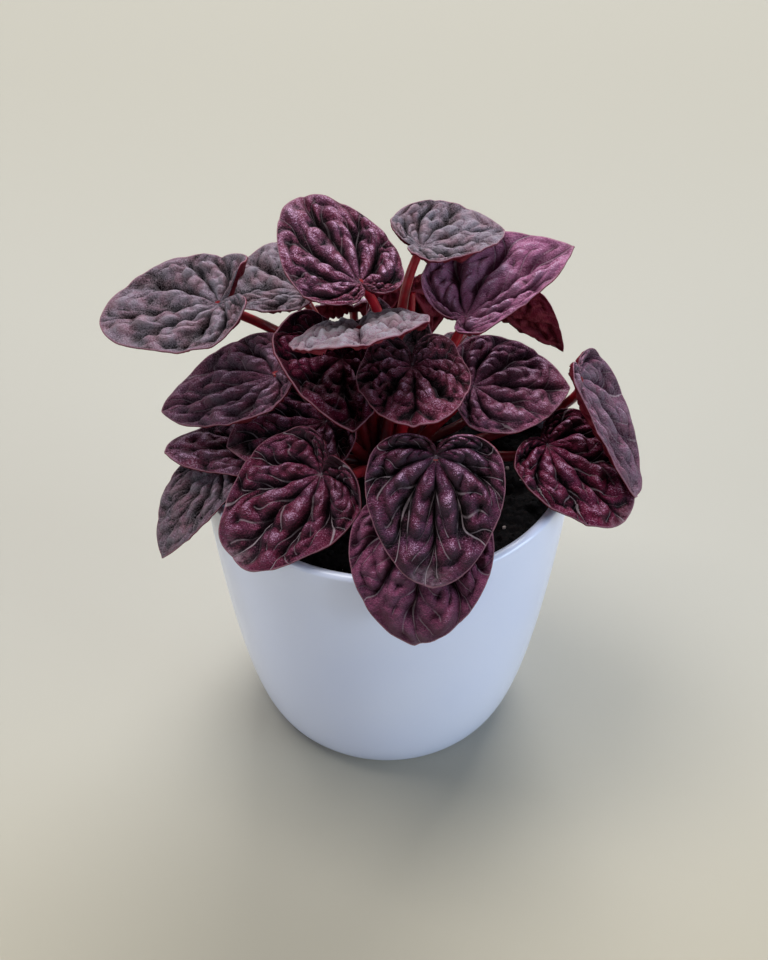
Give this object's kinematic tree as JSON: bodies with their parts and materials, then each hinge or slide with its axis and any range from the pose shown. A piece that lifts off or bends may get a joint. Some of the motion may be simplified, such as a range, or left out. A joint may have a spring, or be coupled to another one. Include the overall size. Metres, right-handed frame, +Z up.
{
  "type": "potted ripple peperomia",
  "caption": "Dark red ripple peperomia: rippled heart-shaped leaves on red petioles rise from a short crown in soil, in a glazed white pot with a rounded foot.",
  "frame": {"origin": "centre of the pot's flat base", "axes": "+Z up, out of the pot; -Y towards the side where two leaves hang low over the rim; +X to the right seen from that side"},
  "size_m": [0.1803, 0.1535, 0.1971],
  "materials": {
    "glazed_pot": "glossy white glaze",
    "potting_soil": "loose, near-black, matte",
    "petiole": "smooth, fleshy, semi-gloss",
    "leaf": "rippled, satin, with a fine silvery sheen"
  },
  "bodies": {
    "root": {"pot": "glazed_pot", "potting_soil": "potting_soil", "crown_with_petioles": "petiole", "blade_front_centre": "leaf", "blade_front_overhang": "leaf", "blade_front_left": "leaf", "blade_left_middle": "leaf", "blade_left_high": "leaf", "blade_left_back": "leaf", "blade_top_centre": "leaf", "blade_top_right": "leaf", "blade_right_high": "leaf", "blade_right_back": "leaf", "blade_centre_upturned": "leaf", "blade_centre_left": "leaf", "blade_centre_round": "leaf", "blade_right_middle": "leaf", "blade_left_low": "leaf", "blade_left_overhang": "leaf", "blade_front_left_inner": "leaf", "blade_right_low": "leaf", "blade_right_hanging": "leaf", "blade_back_hanging": "leaf", "blade_back_middle": "leaf", "blade_back_left_low": "leaf", "blade_back_centre_low": "leaf", "blade_back_right_low": "leaf", "blade_right_inner_low": "leaf", "blade_left_inner_low": "leaf", "young_blade_right": "leaf", "young_blade_back": "leaf"}
  },
  "joints": []
}
